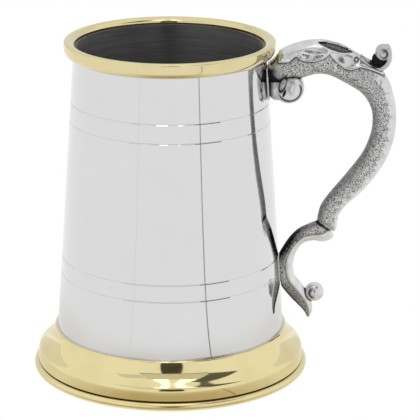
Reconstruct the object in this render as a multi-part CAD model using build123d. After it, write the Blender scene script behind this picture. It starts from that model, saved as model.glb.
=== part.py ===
from build123d import *
import math
import os

os.makedirs("parts", exist_ok=True)

# Lidless pint tankard: a rolled pewter barrel on a brass foot ring, a brass rim
# band round its mouth and a cast pewter S handle soldered to the seam side.
# Millimetres. The origin is the middle of the foot's standing face, +Z is up and
# the handle reaches out along +X. Everything but the handle is turned about +Z.

# ---- overall sizes ----
TOTAL_HEIGHT = 129.2          # floor to the top of the rim band
FOOT_RADIUS = 52.7            # widest bead of the foot ring
RIM_RADIUS = 39.8             # widest line of the rim band
HANDLE_REACH = 47.4           # barrel wall to the outermost point of the arm

# ---- barrel ----
BARREL_TOP_RADIUS = 36.14     # outside, at the barrel's top edge
BARREL_LOW_RADIUS = 44.0      # outside, at the barrel's bottom edge
BARREL_WALL = 1.1
BARREL_TOP_DROP = 2.7         # top edge below the top of the rim band
BARREL_SEAT_Z = 9.4           # bottom edge above the floor
GROOVE_DROPS = (23.3, 30.5, 83.6, 90.0)   # engraved rings, below the rim's top
GROOVE_DEPTH = 0.35
GROOVE_WIDTH = 0.9
SEAM_WIDTH = 1.6              # butt seam behind the handle
SEAM_INSET = 0.05             # seam solder stands this far back inside the cup

# ---- rim band ----
RIM_HEIGHT = 6.0
RIM_NOSE_DROP = 2.0           # widest line below the band's top
RIM_LIP_COVER = 0.6           # how far the lip laps over the barrel's top edge
RIM_LIP_ROUND = 1.1           # bevel on the lip's inner corner
RIM_SOLE = 0.6                # flat under the band, out from the solder
SOLDER_GAP = 0.15             # solder film between a ring and the barrel

# ---- foot ring ----
FOOT_TOP_Z = 17.0             # top of the collar
FOOT_COLLAR = 0.45            # collar's thickness at its top edge
FOOT_BEAD_HEIGHT = 3.3
FOOT_BEAD_GROOVE = 1.3        # groove above the bead, in from the bead
FOOT_WALL = 1.9
FOOT_LEDGE = 2.2              # ledge that the barrel's bottom edge stands on
FOOT_SHOULDER_RISE = 0.47     # shoulder's height, as a share of the slope above the bead
FOOT_NECK_RISE = 0.74         # neck's height, as a share of the same slope
FOOT_CHEEK = 1.4              # upright cheek above the bead's groove
FOOT_SHOULDER = 3.7           # the ogee's shoulder, in from the bead
FOOT_FILLET = 0.5             # solder fillet on top of the collar

# ---- base plate ----
PLATE_THICKNESS = 1.5
PLATE_FLANGE = 3.0            # turned-down flange inside the barrel
PLATE_FILLET = 1.2            # solder fillet inside the cup

# ---- handle ----
HANDLE_RISE = 0.8             # top of the leaf above the rim's top
HANDLE_TAIL_Z = 20.5          # tail spur's tip above the floor
ARM_THICKNESS = 10.4          # across the arm at its top
ARM_HEEL_THICKNESS = 7.8      # across the arm at its heel
LEAF_PROUD = 0.9              # how far the leaf stands off the arm's sides
VOLUTE_RADIUS = 5.8
VOLUTE_WIDTH = 9.0
VOLUTE_EYE_RADIUS = 1.6
LUG_WIDTH = 7.6
THUMB_WIDTH = 8.0
THUMB_WEB = 3.0               # solid web between the two side recesses
SCROLL_WIDTH = 7.6            # across the lower scroll at the arm's heel
SCROLL_TAIL_WIDTH = 3.6       # across it at the tail's tip
BALL_RADIUS = 3.7
PAD_GAP = 0.35                # solder between the castings and the barrel
EDGE_ROUND = 1.3

# ---- worked out from the sizes above ----
BARREL_TOP_Z = TOTAL_HEIGHT - BARREL_TOP_DROP
TAPER = (BARREL_LOW_RADIUS - BARREL_TOP_RADIUS) / (BARREL_TOP_Z - BARREL_SEAT_Z)
RIM_BOTTOM_Z = TOTAL_HEIGHT - RIM_HEIGHT
DRAWN_HANDLE_HEIGHT = 109.5   # the handle's outlines are drawn at this height
DRAWN_HANDLE_REACH = 47.4     # and at this reach
DRAWN_TAIL_Z = 20.5
HANDLE_HEIGHT = TOTAL_HEIGHT + HANDLE_RISE - HANDLE_TAIL_Z


def barrel_r(z):
    """Outer radius of the barrel's straight cone at height z."""
    return BARREL_TOP_RADIUS + TAPER * (BARREL_TOP_Z - z)


def cone_between(z_low, z_high, extra=0.0):
    """Solid frustum that follows the barrel's outside, extra mm proud of it."""
    low = barrel_r(z_low) + extra
    high = barrel_r(z_high) + extra
    points = [(0, z_low), (low, z_low), (high, z_high), (0, z_high)]
    return turned(points)


def turned(points):
    """Closed solid turned about +Z from a closed list of (radius, z) corners."""
    outline = Polyline(*[(r, 0, z) for r, z in points], close=True)
    return revolve(make_face(outline), Axis.Z)


def turned_face(edges):
    """Closed solid turned about +Z from connected edges in the XZ plane."""
    return revolve(make_face(edges), Axis.Z)


def handle_point(out, up):
    """Point of the handle's drawing: out from the barrel wall, up from the floor."""
    z = HANDLE_TAIL_Z + (up - DRAWN_TAIL_Z) * HANDLE_HEIGHT / DRAWN_HANDLE_HEIGHT
    x = barrel_r(z) + out * HANDLE_REACH / DRAWN_HANDLE_REACH
    return (x, 0, z)


def plate_from(edges, width):
    """Flat plate of the given outline in the XZ plane, centred on y = 0."""
    face = make_face(edges)
    return extrude(face, amount=width / 2, dir=(0, 1, 0), both=True)


def rounded(solid, radius):
    """Round the two side rims of a plate."""
    rims = solid.faces().sort_by(Axis.Y)
    return fillet(rims[0].edges() + rims[-1].edges(), radius)


# ---- turned pieces ----

def barrel():
    """Rolled cone with four engraved V grooves and an open butt seam."""
    wall = [(barrel_r(BARREL_SEAT_Z), BARREL_SEAT_Z)]
    for drop in sorted(GROOVE_DROPS, reverse=True):
        z = TOTAL_HEIGHT - drop
        half = GROOVE_WIDTH / 2
        wall.append((barrel_r(z - half), z - half))
        wall.append((barrel_r(z) - GROOVE_DEPTH, z))
        wall.append((barrel_r(z + half), z + half))
    wall.append((barrel_r(BARREL_TOP_Z), BARREL_TOP_Z))
    wall.append((barrel_r(BARREL_TOP_Z) - BARREL_WALL, BARREL_TOP_Z))
    wall.append((barrel_r(BARREL_SEAT_Z) - BARREL_WALL, BARREL_SEAT_Z))
    return turned(wall) - seam_block()


def seam_block():
    """Upright slab through the wall on the handle's side."""
    length = BARREL_LOW_RADIUS * 2
    block = Box(length, SEAM_WIDTH, TOTAL_HEIGHT, align=(Align.MIN, Align.CENTER, Align.MIN))
    return block


def barrel_seam():
    """Solder that closes the butt seam, flush with the wall's outer face."""
    low = barrel_r(BARREL_SEAT_Z)
    top = barrel_r(BARREL_TOP_Z)
    depth = BARREL_WALL - SEAM_INSET
    strip = turned([
        (low, BARREL_SEAT_Z),
        (top, BARREL_TOP_Z),
        (top - depth, BARREL_TOP_Z),
        (low - depth, BARREL_SEAT_Z),
    ])
    return strip & seam_block()


def rim_band():
    """Rounded brass band: a lip over the barrel's edge and a rebate round it."""
    bore_low = barrel_r(RIM_BOTTOM_Z) + SOLDER_GAP
    bore_high = barrel_r(BARREL_TOP_Z) + SOLDER_GAP
    lip = barrel_r(BARREL_TOP_Z) - RIM_LIP_COVER
    crown = lip + RIM_LIP_ROUND
    low = bore_low + RIM_SOLE
    nose = (RIM_RADIUS, 0, TOTAL_HEIGHT - RIM_NOSE_DROP)
    edges = [
        Line((bore_low, 0, RIM_BOTTOM_Z), (bore_high, 0, BARREL_TOP_Z)),
        Line((bore_high, 0, BARREL_TOP_Z), (lip, 0, BARREL_TOP_Z)),
        Line((lip, 0, BARREL_TOP_Z), (lip, 0, TOTAL_HEIGHT - RIM_LIP_ROUND)),
        Line((lip, 0, TOTAL_HEIGHT - RIM_LIP_ROUND), (crown, 0, TOTAL_HEIGHT)),
        Spline((crown, 0, TOTAL_HEIGHT), nose, tangents=[(1, 0, 0), (0, 0, -1)]),
        Spline(nose, (low, 0, RIM_BOTTOM_Z), tangents=[(0, 0, -1), (-1, 0, -0.8)]),
        Line((low, 0, RIM_BOTTOM_Z), (bore_low, 0, RIM_BOTTOM_Z)),
    ]
    return turned_face(edges)


def sleeve(z_low, z_high):
    """Thin solder sleeve between the barrel and the bore of a ring."""
    return turned([
        (barrel_r(z_low), z_low),
        (barrel_r(z_low) + SOLDER_GAP, z_low),
        (barrel_r(z_high) + SOLDER_GAP, z_high),
        (barrel_r(z_high), z_high),
    ])


def rim_solder():
    """Solder film inside the rim band's rebate."""
    return sleeve(RIM_BOTTOM_Z, BARREL_TOP_Z)


def foot_ring():
    """Brass ogee foot: thin collar, flared shoulder, groove and rolled bead."""
    bore_low = barrel_r(BARREL_SEAT_Z) + SOLDER_GAP
    bore_top = barrel_r(FOOT_TOP_Z) + SOLDER_GAP
    ledge = barrel_r(BARREL_SEAT_Z) - FOOT_LEDGE
    groove_r = FOOT_RADIUS - FOOT_BEAD_GROOVE
    shoulder = FOOT_RADIUS - FOOT_SHOULDER
    rise = FOOT_TOP_Z - FOOT_BEAD_HEIGHT
    shoulder_z = FOOT_BEAD_HEIGHT + rise * FOOT_SHOULDER_RISE
    cheek = (groove_r + 0.15, 0, FOOT_BEAD_HEIGHT + FOOT_CHEEK)
    neck = (bore_top + FOOT_COLLAR, 0, FOOT_TOP_Z)
    under_z = BARREL_SEAT_Z - FOOT_WALL
    edges = [
        Line((bore_low, 0, BARREL_SEAT_Z), (bore_top, 0, FOOT_TOP_Z)),
        Line((bore_top, 0, FOOT_TOP_Z), neck),
        Spline(neck, ((neck[0] + shoulder) / 2 + 0.2, 0, FOOT_BEAD_HEIGHT + rise * FOOT_NECK_RISE),
               (shoulder, 0, shoulder_z), cheek, tangents=[(0.35, 0, -1.0), (0.05, 0, -1.0)]),
        Line(cheek, (groove_r, 0, FOOT_BEAD_HEIGHT)),
        ThreePointArc((groove_r, 0, FOOT_BEAD_HEIGHT), (FOOT_RADIUS, 0, FOOT_BEAD_HEIGHT / 2),
                      (groove_r, 0, 0)),
        Line((groove_r, 0, 0), (groove_r - FOOT_WALL, 0, 0)),
        Line((groove_r - FOOT_WALL, 0, 0), (groove_r - FOOT_WALL, 0, FOOT_BEAD_HEIGHT)),
        Line((groove_r - FOOT_WALL, 0, FOOT_BEAD_HEIGHT), (shoulder - FOOT_WALL - 1.0, 0, under_z)),
        Line((shoulder - FOOT_WALL - 1.0, 0, under_z), (ledge, 0, under_z)),
        Line((ledge, 0, under_z), (ledge, 0, BARREL_SEAT_Z)),
        Line((ledge, 0, BARREL_SEAT_Z), (bore_low, 0, BARREL_SEAT_Z)),
    ]
    return turned_face(edges)


def foot_solder():
    """Solder film in the collar with a small fillet standing on its top edge."""
    top = FOOT_TOP_Z + FOOT_FILLET
    bore = barrel_r(FOOT_TOP_Z) + SOLDER_GAP
    return turned([
        (barrel_r(BARREL_SEAT_Z), BARREL_SEAT_Z),
        (barrel_r(BARREL_SEAT_Z) + SOLDER_GAP, BARREL_SEAT_Z),
        (bore, FOOT_TOP_Z),
        (bore + FOOT_COLLAR * 0.8, FOOT_TOP_Z),
        (barrel_r(top), top),
    ])


def base_plate():
    """Pewter disc closing the barrel, its rim turned down against the wall."""
    flange_low = BARREL_SEAT_Z
    flange_high = flange_low + PLATE_FLANGE
    inside_low = barrel_r(flange_low) - BARREL_WALL
    inside_high = barrel_r(flange_high) - BARREL_WALL
    inner = inside_low - PLATE_THICKNESS
    return turned([
        (0, flange_high - PLATE_THICKNESS),
        (inner, flange_high - PLATE_THICKNESS),
        (inner, flange_low),
        (inside_low, flange_low),
        (inside_high, flange_high),
        (0, flange_high),
    ])


def base_solder():
    """Solder fillet in the corner between the plate and the wall."""
    low = BARREL_SEAT_Z + PLATE_FLANGE
    high = low + PLATE_FILLET
    return turned([
        (barrel_r(low) - BARREL_WALL, low),
        (barrel_r(high) - BARREL_WALL, high),
        (barrel_r(low) - BARREL_WALL - PLATE_FILLET, low),
    ])


# ---- handle castings ----

# Crossings of the arm, from the root to the heel: (inner edge, outer edge), each
# as (out from the barrel wall, up from the floor).
ARM_CROSSINGS = [
    ((5.6, 113.4), (1.6, 121.6)),
    ((12.0, 115.0), (7.0, 126.0)),
    ((18.8, 116.8), (16.8, 128.8)),
    ((24.0, 116.3), (24.6, 128.2)),
    ((28.4, 113.9), (32.2, 124.7)),
    ((35.0, 109.4), (42.6, 118.4)),
    ((37.6, 105.4), (47.1, 107.6)),
    ((38.5, 99.6), (47.4, 99.6)),
    ((37.2, 92.8), (46.0, 91.4)),
    ((27.2, 77.4), (34.6, 72.6)),
    ((20.6, 69.6), (27.6, 66.4)),
    ((16.7, 63.8), (24.8, 62.0)),
    ((15.7, 58.6), (23.2, 55.2)),
]


def crossings_loft(pairs, first_thickness, last_thickness, proud=0.0):
    """Oval crossings joined end to end, grown by proud mm all round."""
    crossings = []
    last = len(pairs) - 1
    for step, (inner, outer) in enumerate(pairs):
        a = Vector(*handle_point(*inner))
        b = Vector(*handle_point(*outer))
        across = b - a
        thickness = first_thickness + (last_thickness - first_thickness) * step / last
        plane = Plane(origin=(a + b) * 0.5, x_dir=across, z_dir=across.cross(Vector(0, 1, 0)))
        crossings.append(plane * Ellipse(across.length / 2 + proud, thickness / 2 + proud))
    return loft(crossings)


def handle_arm(proud=0.0):
    """S arm, thickest at the top and slimmer at the heel."""
    return crossings_loft(ARM_CROSSINGS, ARM_THICKNESS, ARM_HEEL_THICKNESS, proud)


def outline(points):
    """Smooth closed outline through drawn handle points."""
    return Spline(*[handle_point(*p) for p in points], periodic=True)


LEAF_TOP = [(5.0, 124.6), (8.5, 128.8), (13.0, 131.3), (19.4, 132.6), (24.5, 132.2), (30.8, 130.6),
            (35.7, 128.3), (40.5, 125.0), (44.0, 120.6)]
LEAF_LOBES = [(40.0, 117.9), (36.6, 118.6), (33.0, 121.2), (29.2, 122.6), (26.0, 123.2), (23.8, 125.6),
              (21.6, 123.6), (17.6, 122.7), (13.6, 124.2), (10.4, 125.4), (8.0, 123.6)]


def acanthus_leaf(arm):
    """Leaf laid along the arm's top, its lobes hanging over both sides."""
    top = Spline(*[handle_point(*p) for p in LEAF_TOP])
    lobes = Spline(*[handle_point(*p) for p in [LEAF_TOP[-1]] + LEAF_LOBES + [LEAF_TOP[0]]])
    slab = plate_from([top, lobes], ARM_THICKNESS * 2)
    return (handle_arm(LEAF_PROUD) & slab) - arm


THUMB_OUTLINE = [(39.4, 124.4), (40.3, 126.4), (42.9, 128.0), (45.8, 126.6), (47.1, 123.9), (46.4, 120.9),
                 (44.2, 118.6), (41.6, 118.6), (39.9, 121.0)]
THUMB_RECESS = [(41.2, 123.0), (43.6, 122.6), (44.2, 121.2), (43.0, 119.9), (41.4, 120.4)]


def thumb_scroll(arm, leaf):
    """Curled tip of the leaf: a round thumb rest with a recess on each side."""
    body = rounded(plate_from([outline(THUMB_OUTLINE)], THUMB_WIDTH), EDGE_ROUND)
    recess = plate_from([outline(THUMB_RECESS)], THUMB_WIDTH * 2)
    recess = recess - Box(400, THUMB_WEB, 400)
    return body - recess - arm - leaf


def castings_clearance():
    """What the castings must stay out of: the barrel and its solder pads."""
    return cone_between(0.0, TOTAL_HEIGHT, PAD_GAP)


def volute_centre():
    """Middle of the drop scroll under the arm's root."""
    return Vector(*handle_point(7.7, 111.3))


def volute_lug():
    """Block behind the drop scroll that carries the handle's top joint."""
    low = handle_point(-1.0, 106.3)
    high = handle_point(4.6, 119.6)
    wide = high[0] - low[0] + 2.0
    block = Box(wide, LUG_WIDTH, high[2] - low[2], align=(Align.MIN, Align.CENTER, Align.MIN))
    block = fillet(block.edges().filter_by(Axis.X), EDGE_ROUND)
    return Pos(low[0] - 2.0, 0, low[2]) * block


def upper_volute(arm):
    """Drop scroll with a raised eye each side and the lug against the barrel."""
    centre = volute_centre()
    disc = Rot(90, 0, 0) * Cylinder(VOLUTE_RADIUS, VOLUTE_WIDTH)
    disc = fillet(disc.edges(), EDGE_ROUND)
    eye = Rot(90, 0, 0) * Cylinder(VOLUTE_EYE_RADIUS, VOLUTE_WIDTH + 1.6)
    eye = fillet(eye.edges(), 0.7)
    scroll = Pos(centre) * (disc + eye)
    return scroll + volute_lug() - arm - castings_clearance()


# Crossings of the lower scroll, from the arm's heel round the C to the tail's tip.
SCROLL_CROSSINGS = [
    ((22.4, 54.0), (17.0, 60.6)),
    ((20.2, 51.9), (14.9, 58.7)),
    ((15.0, 51.6), (12.0, 57.4)),
    ((10.8, 50.6), (8.4, 55.5)),
    ((8.0, 48.4), (5.2, 52.5)),
    ((6.3, 45.4), (2.2, 48.6)),
    ((5.5, 42.4), (-0.4, 44.0)),
    ((5.3, 39.6), (-1.0, 39.6)),
    ((6.0, 35.8), (-0.4, 34.4)),
    ((8.8, 31.8), (2.2, 30.4)),
    ((11.4, 27.2), (5.6, 26.7)),
    ((11.7, 23.9), (8.3, 22.6)),
    ((10.9, 21.1), (9.4, 20.6)),
]


def lower_scroll(arm, ball):
    """C scroll soldered to the barrel, with a tail spur below its foot."""
    band = crossings_loft(SCROLL_CROSSINGS, SCROLL_WIDTH, SCROLL_TAIL_WIDTH)
    return band - arm - ball - castings_clearance()


def scroll_ball():
    """Ball terminal held in the lower scroll's open end."""
    return Pos(*handle_point(12.9, 30.2)) * Sphere(BALL_RADIUS)


def solder_pad(z_low, z_high, width):
    """Solder between a casting and the barrel, following the cone."""
    shell = cone_between(z_low, z_high, PAD_GAP) - cone_between(z_low, z_high)
    window = Pos(0, 0, z_low) * Box(400, width, z_high - z_low, align=(Align.MIN, Align.CENTER, Align.MIN))
    return shell & window


def upper_pad():
    """Pad behind the drop scroll's lug."""
    return solder_pad(handle_point(0, 107.0)[2], handle_point(0, 119.0)[2], LUG_WIDTH - 1.2)


def lower_pad():
    """Pad behind the lower scroll."""
    return solder_pad(handle_point(0, 34.8)[2], handle_point(0, 45.0)[2], SCROLL_WIDTH - 2.6)


def build():
    """Make every piece and write it to its own file."""
    arm = handle_arm()
    leaf = acanthus_leaf(arm)
    ball = scroll_ball()
    pieces = {
        "barrel": barrel(),
        "barrel_seam": barrel_seam(),
        "base_plate": base_plate(),
        "base_solder": base_solder(),
        "rim_band": rim_band(),
        "rim_solder": rim_solder(),
        "foot_ring": foot_ring(),
        "foot_solder": foot_solder(),
        "handle_arm": arm,
        "acanthus_leaf": leaf,
        "thumb_scroll": thumb_scroll(arm, leaf),
        "upper_volute": upper_volute(arm),
        "lower_scroll": lower_scroll(arm, ball),
        "scroll_ball": ball,
        "upper_solder_pad": upper_pad(),
        "lower_solder_pad": lower_pad(),
    }
    for name, piece in pieces.items():
        export_step(piece, f"parts/{name}.step")


build()
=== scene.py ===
import math

import bmesh
import bpy
import numpy as np
from mathutils import Matrix, Vector


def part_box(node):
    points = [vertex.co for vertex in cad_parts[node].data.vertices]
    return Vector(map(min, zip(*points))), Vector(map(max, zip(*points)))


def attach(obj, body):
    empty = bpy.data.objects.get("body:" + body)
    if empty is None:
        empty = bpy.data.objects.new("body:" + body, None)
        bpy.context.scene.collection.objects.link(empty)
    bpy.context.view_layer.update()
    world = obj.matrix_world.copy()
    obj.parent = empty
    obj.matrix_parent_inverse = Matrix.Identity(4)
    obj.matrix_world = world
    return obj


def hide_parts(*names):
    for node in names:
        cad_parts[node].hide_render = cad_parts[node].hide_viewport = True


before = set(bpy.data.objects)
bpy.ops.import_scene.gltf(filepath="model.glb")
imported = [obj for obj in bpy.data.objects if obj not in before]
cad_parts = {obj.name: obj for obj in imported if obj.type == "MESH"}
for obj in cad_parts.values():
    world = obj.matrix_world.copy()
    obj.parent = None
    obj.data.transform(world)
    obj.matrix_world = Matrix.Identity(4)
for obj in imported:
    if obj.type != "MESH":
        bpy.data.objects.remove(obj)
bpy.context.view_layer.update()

# Pint tankard: polished pewter barrel, brass rim band and foot, antiqued cast
# handle. Shapes are worked out in millimetres and scaled once, by MM.
MM = 0.001
BARREL_LOW, BARREL_HIGH = [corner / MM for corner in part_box("barrel")]
RIM_LOW, RIM_HIGH = [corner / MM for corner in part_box("rim_band")]
FOOT_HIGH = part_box("foot_ring")[1] / MM
PLATE_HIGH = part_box("base_plate")[1] / MM
BALL_LOW, BALL_HIGH = [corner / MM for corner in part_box("scroll_ball")]

WALL = 1.1                    # thickness of the barrel
LOW_RADIUS = BARREL_HIGH.x
TOP_RADIUS = LOW_RADIUS - 7.86   # the barrel narrows upwards by this much
TOTAL = RIM_HIGH.z
SEAT = BARREL_LOW.z
MOUTH = BARREL_HIGH.z
TAPER = (LOW_RADIUS - TOP_RADIUS) / (MOUTH - SEAT)
SOLDER = 0.15                 # film of solder under the rings
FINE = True


def barrel_r(z):
    """Outer radius of the barrel's cone, in millimetres, at height z."""
    return TOP_RADIUS + TAPER * (MOUTH - z)


# ---------------------------------------------------------------- materials

class Wire:
    """A number on its way between shader nodes; sums on it add Math nodes."""

    def __init__(self, finish, socket):
        self.finish = finish
        self.socket = socket

    def sum(self, operation, first, second=0.0):
        return self.finish.node("ShaderNodeMath", {"operation": operation}, {0: first, 1: second})

    def __add__(self, other):
        return self.sum("ADD", self, other)

    def __sub__(self, other):
        return self.sum("SUBTRACT", self, other)

    def __rsub__(self, other):
        return self.sum("SUBTRACT", other, self)

    def __mul__(self, other):
        return self.sum("MULTIPLY", self, other)

    def __truediv__(self, other):
        return self.sum("DIVIDE", self, other)

    def __pow__(self, other):
        return self.sum("POWER", self, other)

    __radd__ = __add__
    __rmul__ = __mul__

    def between(self, low, high):
        """0 below low, 1 above high, eased in between."""
        settings = {"interpolation_type": "SMOOTHSTEP"}
        return self.finish.node("ShaderNodeMapRange", settings, {0: self, 1: low, 2: high})

    def most(self, other):
        return self.sum("MAXIMUM", self, other)

    def away(self, middle):
        """How far the number is from middle."""
        return self.sum("ABSOLUTE", self - middle)


class Finish:
    """One procedural material with a single Principled shader."""

    def __init__(self, name, **numbers):
        self.material = bpy.data.materials.new(name)
        self.material.use_nodes = True
        self.tree = self.material.node_tree
        self.tree.nodes.clear()
        output = self.tree.nodes.new("ShaderNodeOutputMaterial")
        self.shader = self.tree.nodes.new("ShaderNodeBsdfPrincipled")
        self.tree.links.new(self.shader.outputs[0], output.inputs[0])
        for key, value in numbers.items():
            self.shader.inputs[key.replace("_", " ")].default_value = value

    def node(self, kind, settings=None, inputs=None, out=0):
        made = self.tree.nodes.new(kind)
        for key, value in (settings or {}).items():
            setattr(made, key, value)
        for key, value in (inputs or {}).items():
            self.plug(made.inputs[key], value)
        return Wire(self, made.outputs[out])

    def plug(self, socket, value):
        if isinstance(value, Wire):
            self.tree.links.new(value.socket, socket)
        else:
            socket.default_value = value

    def set(self, name, value):
        self.plug(self.shader.inputs[name], value)

    def place(self, scale=(1, 1, 1)):
        """Object coordinates, stretched by scale."""
        spot = self.node("ShaderNodeTexCoord", out="Object")
        return self.node("ShaderNodeMapping", {}, {"Vector": spot, "Scale": scale})

    def noise(self, size, detail=2.0, rough=0.5, stretch=(1, 1, 1), warp=0.0):
        """Cloudy noise whose blobs are about size millimetres across."""
        inputs = {"Vector": self.place(stretch), "Scale": 1 / (size * MM), "Detail": detail,
                  "Roughness": rough, "Distortion": warp}
        return self.node("ShaderNodeTexNoise", {"noise_dimensions": "3D"}, inputs)

    def blend(self, amount, one, two, mode="MIX"):
        """Mix of two colours."""
        mixer = self.tree.nodes.new("ShaderNodeMix")
        mixer.data_type = "RGBA"
        mixer.blend_type = mode
        self.plug(mixer.inputs[0], amount)
        self.plug(mixer.inputs[6], one)
        self.plug(mixer.inputs[7], two)
        return Wire(self, mixer.outputs[2])

    def bump(self, height, depth, strength=1.0, under=None):
        """Relief whose full height is depth millimetres."""
        inputs = {"Height": height, "Distance": depth * MM, "Strength": strength}
        if under is not None:
            inputs["Normal"] = under
        return self.node("ShaderNodeBump", {}, inputs)

    def attribute(self, name):
        return self.node("ShaderNodeAttribute", {"attribute_name": name}, {}, out="Fac")


def grey(value, warm=0.0):
    return (value + warm, value, value - warm * 0.5, 1)


def polished_pewter():
    """Mirror pewter with a breath of haze and hairline polishing marks."""
    f = Finish("polished_pewter", Metallic=1.0)
    haze = f.noise(9.0, 3.0)
    hairs = f.noise(0.5, 2.0, stretch=(0.02, 0.02, 1.0))
    f.set("Base Color", f.blend(haze, grey(0.685), grey(0.715)))
    f.set("Roughness", 0.035 + haze * 0.02 + hairs.between(0.62, 0.8) * 0.05)
    f.set("Normal", f.bump(hairs, 0.0012))
    return f.material


def turned_lining_with_painted_shade():
    """Inside of the cup: dull pewter with fine marks running round the wall. Its greys are kept dark as
    painted shade inside the cup.
    """
    f = Finish("turned_lining_with_painted_shade", Metallic=1.0, Anisotropic=1.0, Anisotropic_Rotation=0.25)
    streaks = f.noise(1.3, 4.0, 0.65, stretch=(0.035, 0.035, 1.0))
    lines = f.noise(0.35, 2.0, stretch=(0.02, 0.02, 1.0))
    cloud = f.noise(14.0, 2.0)
    tone = streaks * 0.6 + lines * 0.25 + cloud * 0.25
    # The tone varies at random with the turning marks, which is real; both greys are set dark as painted
    # shade for the inside of the cup.
    f.set("Base Color", f.blend(tone.between(0.3, 0.8), grey(0.13), grey(0.27)))
    f.set("Roughness", 0.54 + streaks * 0.1)
    f.set("Normal", f.bump(streaks + lines * 0.6, 0.012))
    return f.material


def brass(name, groove, bead, light, deep):
    """Pale polished brass; tarnish lies in the groove and the bead below is duller.

    groove and bead are heights in millimetres: the groove's middle and the bead's top."""
    f = Finish(name, Metallic=1.0)
    cloud = f.noise(12.0, 3.0)
    hairs = f.noise(0.45, 2.0, stretch=(0.03, 0.03, 1.0))
    high = f.node("ShaderNodeSeparateXYZ", {}, {0: f.node("ShaderNodeTexCoord", out="Object")}, out="Z")
    off = high.away(groove * MM)
    tarnish = (1 - off.between(0.12 * MM, 0.42 * MM)) * 0.9
    low = 1 - high.between((bead - 0.1) * MM, (bead + 0.1) * MM)
    lines = hairs.between(0.5, 0.72)
    clean = f.blend(cloud.between(0.3, 0.75), light, deep)
    f.set("Base Color", f.blend(tarnish, clean, (0.10, 0.07, 0.02, 1)))
    f.set("Roughness", 0.045 + cloud * 0.03 + lines * 0.05 + low * 0.16 + tarnish * 0.3)
    f.set("Normal", f.bump(hairs, 0.0015))
    return f.material


def antiqued_casting(name, light, pit):
    """Cast pewter: dark in the hollows, rubbed bright on the high places."""
    f = Finish(name, Metallic=1.0)
    patina = f.attribute("patina")
    grain = f.attribute("grain")
    speck = f.noise(pit, 2.0, 0.6)
    fine = f.noise(pit * 0.5, 2.0, 0.5)
    pits = (speck * 0.6 + fine * 0.4).between(0.51, 0.43) * grain
    dirt = patina.most(pits * 0.84)
    cloud = f.noise(4.0, 3.0)
    clean = f.blend(cloud.between(0.3, 0.7), grey(light * 0.9), grey(light * 1.06))
    f.set("Base Color", f.blend(dirt, clean, grey(0.018)))
    f.set("Roughness", 0.21 + dirt * 0.30 + grain * 0.14 + cloud * 0.04)
    low = f.bump(fine, 0.006)
    f.set("Normal", f.bump(1 - pits, 0.05, under=low))
    return f.material


def tin_solder():
    """Satin tin solder with a slightly puddled surface."""
    f = Finish("tin_solder", Metallic=1.0)
    cloud = f.noise(1.2, 3.0)
    f.set("Base Color", f.blend(cloud, grey(0.42), grey(0.60)))
    f.set("Roughness", 0.22 + cloud * 0.15)
    f.set("Normal", f.bump(cloud, 0.05))
    return f.material


# ------------------------------------------------------------ mesh and nodes

def mesh_object(name, points, faces, material):
    """Mesh object from points in millimetres, in the row's frame."""
    mesh = bpy.data.meshes.new(name)
    mesh.from_pydata((np.asarray(points) * MM).tolist(), [], faces.tolist())
    mesh.validate()
    mesh.materials.append(material)
    obj = bpy.data.objects.new(name, mesh)
    bpy.context.scene.collection.objects.link(obj)
    return obj


def turning_tree():
    """Node tree that turns a profile, a line of points in XZ, about the Z axis."""
    tree = bpy.data.node_groups.new("turned_on_lathe", "GeometryNodeTree")
    face = tree.interface
    face.new_socket("Profile", in_out="INPUT", socket_type="NodeSocketGeometry")
    face.new_socket("Segments", in_out="INPUT", socket_type="NodeSocketInt")
    face.new_socket("Finish", in_out="INPUT", socket_type="NodeSocketMaterial")
    face.new_socket("Turned", in_out="OUTPUT", socket_type="NodeSocketGeometry")
    link = tree.links.new

    def add(kind, settings=None, inputs=None):
        made = tree.nodes.new(kind)
        for key, value in (settings or {}).items():
            setattr(made, key, value)
        for key, value in (inputs or {}).items():
            if isinstance(value, bpy.types.NodeSocket):
                link(value, made.inputs[key])
            else:
                made.inputs[key].default_value = value
        return made

    def whole(operation, one, two):
        return add("ShaderNodeMath", {"operation": operation}, {0: one, 1: two}).outputs[0]

    source = add("NodeGroupInput").outputs
    count = add("GeometryNodeAttributeDomainSize", {"component": "MESH"}, {0: source["Profile"]}).outputs[0]
    rows = whole("ADD", source["Segments"], 1.0)
    grid = add("GeometryNodeMeshGrid", {}, {"Vertices X": count, "Vertices Y": rows}).outputs[0]
    index = add("GeometryNodeInputIndex").outputs[0]
    along = whole("FLOOR", whole("DIVIDE", whole("ADD", index, 0.5), rows), 0.0)
    turn = whole("SUBTRACT", index, whole("MULTIPLY", along, rows))
    spot = add("GeometryNodeInputPosition").outputs[0]
    sample = add("GeometryNodeSampleIndex", {"data_type": "FLOAT_VECTOR", "domain": "POINT"},
                 {"Geometry": source["Profile"], "Value": spot, "Index": along}).outputs[0]
    angle = whole("MULTIPLY", whole("DIVIDE", turn, source["Segments"]), math.tau)
    turned = add("ShaderNodeVectorRotate", {"rotation_type": "Z_AXIS"}, {"Vector": sample, "Angle": angle})
    placed = add("GeometryNodeSetPosition", {}, {"Geometry": grid, "Position": turned.outputs[0]})
    merged = add("GeometryNodeMergeByDistance", {}, {"Geometry": placed.outputs[0], "Distance": 1e-6})
    real = add("GeometryNodeRealizeInstances", {}, {"Geometry": merged.outputs[0]})
    painted = add("GeometryNodeSetMaterial", {}, {"Geometry": real.outputs[0], "Material": source["Finish"]})
    link(painted.outputs[0], add("NodeGroupOutput").inputs[0])
    return tree


TURNING = turning_tree()


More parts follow.
